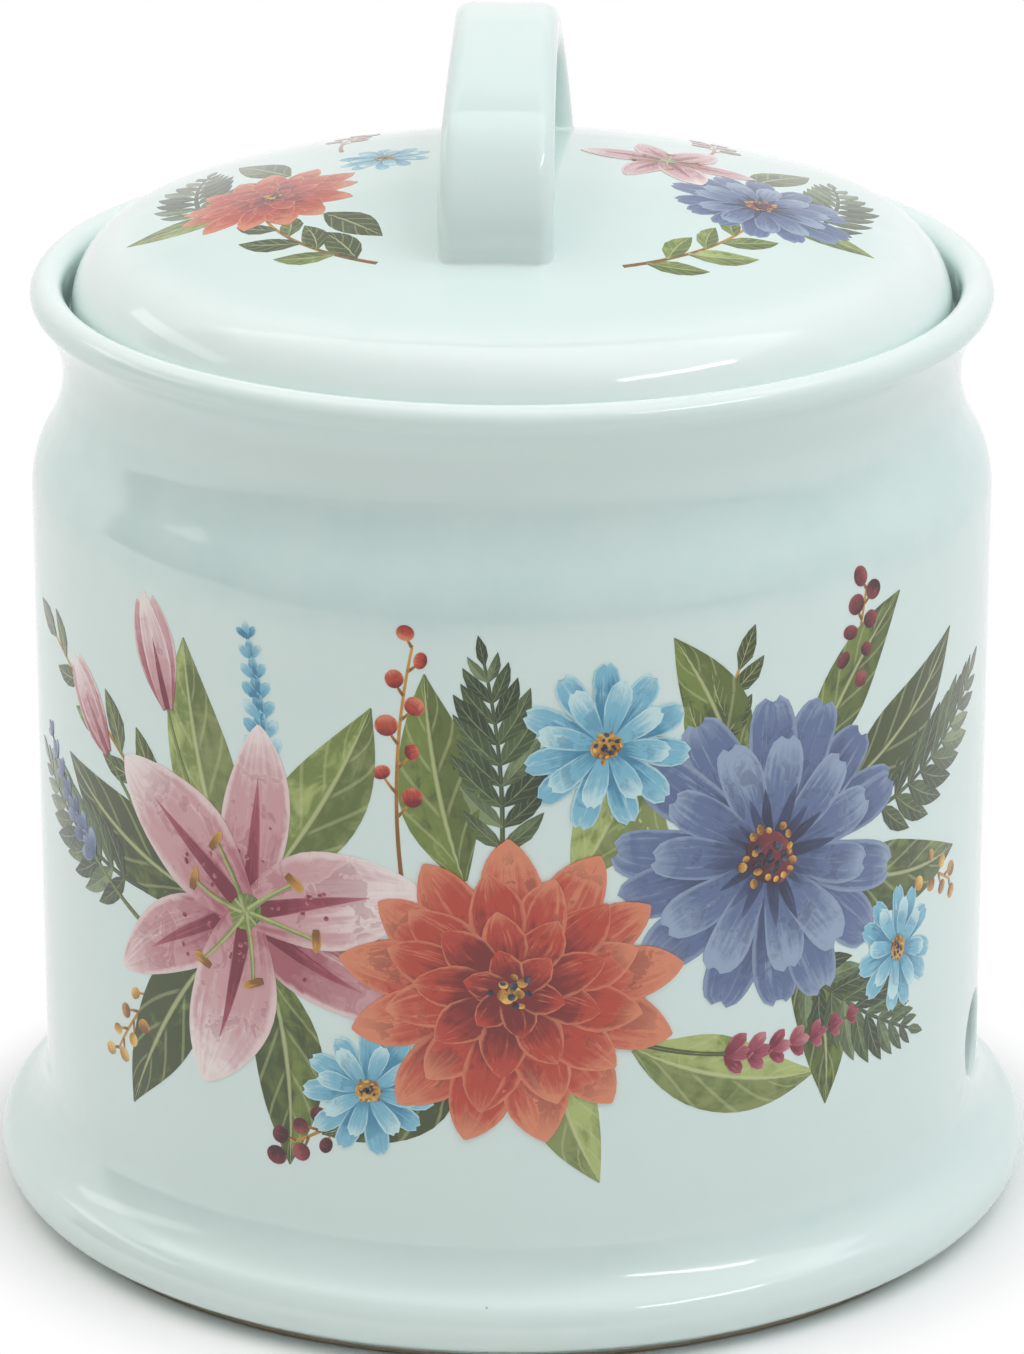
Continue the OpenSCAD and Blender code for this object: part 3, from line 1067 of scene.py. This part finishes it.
def dressWall(spray):
    # x, y, turn, length, width and bend of the leaves behind the blooms
    leaves = (
        (-38, 80, 38, 38, 14, -16), (-46, 80, -20, 40, 14, 16), (-50, 74, -78, 42, 14, 18),
        (-48, 66, -138, 40, 14, -20), (-38, 66, 164, 36, 13, 20), (-4, 54, -140, 30, 12, 30),
        (10, 56, 172, 27, 11, -20), (24, 54, 122, 36, 13, -30), (-4, 84, -18, 36, 13, 16),
        (14, 84, 34, 30, 12, -24), (54, 70, 154, 34, 12, 30), (62, 78, 112, 36, 12, -25),
        (62, 92, 72, 38, 12, -30), (56, 98, 26, 33, 11, 25), (42, 98, -14, 29, 11, -20),
        (30, 88, -46, 26, 10, 20),
    )
    for x, y, turn, length, width, bend in leaves:
        spray.leaf((x, y), turn, length, width, spray.rng.choice((0, 0.4, 0.8)), bend=bend)
    spray.frond(((66, 86), 86, 42, -34), 9)
    spray.frond(((-64, 72), -88, 40, 30), 9)
    spray.frond(((2, 84), 4, 38, -16), 9)
    spray.frond(((52, 66), 138, 38, -24), 9)
    spray.branch(((38, 94), -4, 24, 26), 6)
    spray.branch(((-58, 84), -46, 44, -22), 8)
    spray.berries(((58, 98), 30, 30, -22), 8)
    spray.berries(((-18, 47), -142, 22, 30), 6)
    spray.berries(((-13, 76), -10, 48, 22), 8, paint="coral")
    spray.berries(((72, 76), 102, 26, 20), 7, paint="ochre", r=1.3)
    spray.berries(((-56, 60), -128, 26, -20), 7, paint="ochre", r=1.3)
    spray.spike("turquoise", ((-38, 88), 2, 34, -14), 7)
    spray.spike("blue", ((-66, 66), -66, 40, 22), 7)
    spray.spike("rose", ((24, 55), 112, 42, -34), 7)
    # blooms
    spray.bud(((-48, 84), -34, 24, 18), 20)
    spray.bud(((-54, 78), -66, 26, 26), 18)
    spray.lily((-42, 74), 10, 35, 3, tilt=(-50, 0.94))
    spray.aster("blue", (48, 84), 29, 2, tilt=(40, 0.93), throat="navy")
    spray.dahlia("coral", (4, 65), 28, 11, tilt=(0, 0.94))
    spray.aster("turquoise", (19, 107), 14, 8, petals=11, eye="ochre")
    spray.aster("turquoise", (-20, 46), 12, 6.5, tilt=(-40, 0.88), petals=11, eye="ochre")
    spray.aster("turquoise", (78, 60), 12, 3, tilt=(70, 0.85), petals=11, eye="ochre")


def dressDome(spray):
    for side in (-1, 1):
        spray.branch(((side * 20, -42), side * 64, 34, -side * 50), 8)
    spray.frond(((-50, -14), -20, 34, 30), 8)
    spray.frond(((50, -16), 24, 34, -34), 8)
    spray.berries(((-30, 18), -10, 22, 30), 6)
    spray.berries(((32, 18), 16, 22, -30), 6)
    # x, y, turn and length
    leaves = (
        (-46, -12, -100, 18), (-38, 4, -30, 20), (44, -12, 110, 18),
        (40, 4, 30, 20), (-30, -20, 140, 16),
    )
    for x, y, turn, length in leaves:
        spray.leaf((x, y), turn, length, 7, 0.5)
    spray.dahlia("coral", (-40, -8), 15, 2)
    spray.aster("turquoise", (-22, 8), 8, 2, petals=10, eye="ochre")
    spray.aster("blue", (42, -8), 15, 2, throat="navy")
    spray.lily((26, 10), -20, 15, 8)


sprays = (
    (dressWall, Spray("crock_print", "crock", onWall(0), printPaints, 5)),
    (dressWall, Spray("crock_backprint", "crock", onWall(180), printPaints, 11, -1)),
    (dressDome, Spray("lid_print", "lid", onDome, printPaints, 8, coats=0.45)),
)
for dress, spray in sprays:
    dress(spray)
    spray.finish()


# floor, light and camera

stageForm = {
    "floor": ("fafafa", "f8f8f7"),
    "floorHalf": 4.0,
    "floorGrain": 60.0,
    "near": (0.087, 0.109),  # the floor's shade ends between these, metres from the axis
    "paper": (-0.74, -0.72),  # the gloss sees the white floor end here, in front
    "fade": (-0.6, -0.15),  # after it has dimmed this way
    "dim": 0.28,  # by this much
    "wall": 0.58,  # light from the white wall behind
    "wallStart": (0.15, 0.28),
    "wallSkew": 0.08,
    "wallTop": (0.84, 0.93),
    "sheen": (0.95, 0.8),  # its foot and its top as the gloss shows them
    "sheenRise": (0.25, 0.4),
    "room": 0.16,  # light from the room in front
    "roomStart": (-0.6, -0.4),
    "ceiling": 1.2,  # a white panel overhead, in the gloss alone
    "ceilingFront": (-0.6, 0.1),
    "ceilingSkew": 0.6,
    "ceilingBack": (0.34, 0.36),
    "ceilingRise": (0.68, 0.76),
    "window": 0.55,  # and daylight from the right
    "windowStart": (0.3, 0.95),
    "camera": {
        "turn": 2.7, "rise": 20.27, "away": 1092.25, "aim": 80.0, "lens": 167.04, "shift": 0.0391,
    },
    "lampAim": (0, 0, 0.1),
    "lamps": (
        # name, place, size, watts, colour, seen in the gloss
        ("front", (0, -0.75, 1.25), (1.2, 0.8), 5.8, "ffffff", False),
        ("left", (-0.8, -0.1, 1.1), (1.1, 1.2), 6.3, "fffffc", False),
        ("right", (0.8, -0.1, 1.1), (1.1, 1.2), 7.6, "f7fcff", False),
        ("rightStrip", (0.633, -0.45, 0.96), (0.55, 0.07), 0.97, "ffffff", True),
        ("leftStrip", (-0.99, 0.174, 0.63), (0.8, 0.17), 0.52, "ffffff", True),
    ),
}


def addFloor(s):
    bm = bmesh.new()
    bmesh.ops.create_grid(bm, x_segments=8, y_segments=8, size=s["floorHalf"])
    paint = newPaint("floorPaper")
    place = paint.coordinates("Object")
    grain = paint.noise(place, s["floorGrain"], 3.0)
    paper = paint.mix(grain, *(tint(code) for code in s["floor"]))
    paint.coat(paper, 0.9, fixed=[("Specular IOR Level", 0.1)])
    # away from the object and its shadow the camera and the gloss see plain white
    away = paint.node("ShaderNodeVectorMath", {"operation": "LENGTH"}, {0: place}, 1)
    glossy = paint.ray("Is Glossy Ray")
    seen = paint.ray("Is Camera Ray") + paint.ray("Is Transmission Ray") + glossy
    seen = seen * away.rise(*s["near"])
    y = paint.part(place, "Y")
    end = 1 - y.rise(*s["paper"])
    lost = (1 - y.rise(*s["fade"])) * s["dim"] + end * (1 - s["dim"] - s["room"])
    level = 1 - glossy * lost
    white = paint.mix(level, tint("000000"), tint("ffffff"))
    white = paint.node("ShaderNodeEmission", {}, {"Color": white, "Strength": 1.0})
    shaded = Value(paint, paint.tree.nodes["Principled BSDF"].outputs[0])
    both = paint.node("ShaderNodeMixShader", {}, {0: seen, 1: shaded, 2: white})
    paint.fill(paint.tree.nodes["Material Output"].inputs["Surface"], both)
    floor = addMesh("floor", bm, paint.holder)


def addSky(s):
    scene.world = bpy.data.worlds.new("studio")
    sky = Paint(scene.world)
    toward = sky.coordinates("Generated")
    x, y, z = (sky.part(toward, axis) for axis in "XYZ")
    low = 1 - z.rise(*s["wallTop"])
    back = (y + x * s["wallSkew"]).rise(*s["wallStart"]) * low
    front = (1 - y.rise(*s["roomStart"])) * low
    glossy = sky.ray("Is Glossy Ray")
    foot, top = s["sheen"]
    sheen = foot + z.rise(*s["sheenRise"]) * (top - foot)
    panel = (y + x * s["ceilingSkew"]).rise(*s["ceilingFront"]) * (1 - y.rise(*s["ceilingBack"]))
    panel = panel * z.rise(*s["ceilingRise"])
    window = x.rise(*s["windowStart"]) * (1 - back) * low
    shine = back * (sheen - s["wall"]) + panel * s["ceiling"] + window * s["window"]
    glow = back * s["wall"] + front * s["room"] + glossy * shine
    seen = sky.ray("Is Camera Ray") + sky.ray("Is Transmission Ray")
    background = sky.tree.nodes["Background"]
    sky.fill(background.inputs["Color"], (1.0, 1.0, 1.0, 1.0))
    sky.fill(background.inputs["Strength"], seen + (1 - seen) * glow)


def addLamp(aim, name, place, size, power, colour, glossy):
    data = bpy.data.lights.new(name, "AREA")
    data.shape = "RECTANGLE"
    data.size, data.size_y = size
    data.energy = power
    data.color = tint(colour)[:3]
    lamp = addThing(name, data)
    lamp.location = place
    lamp.rotation_euler = (Vector(aim) - Vector(place)).to_track_quat("-Z", "Y").to_euler()
    lamp.visible_glossy = glossy


def addCamera(c):
    turn = radians(c["turn"])
    rise = radians(c["rise"])
    back = Vector((sin(turn) * cos(rise), -cos(turn) * cos(rise), sin(rise)))
    data = bpy.data.cameras.new("camera")
    data.lens = c["lens"]
    data.shift_y = c["shift"]
    data.clip_start = 0.01
    camera = addThing("camera", data)
    camera.location = Vector((0, 0, c["aim"])) * mm + back * c["away"] * mm
    camera.rotation_euler = (-back).to_track_quat("-Z", "Y").to_euler()
    scene.camera = camera


addFloor(stageForm)
addSky(stageForm)
for lamp in stageForm["lamps"]:
    addLamp(stageForm["lampAim"], *lamp)
addCamera(stageForm["camera"])
print("stage set")
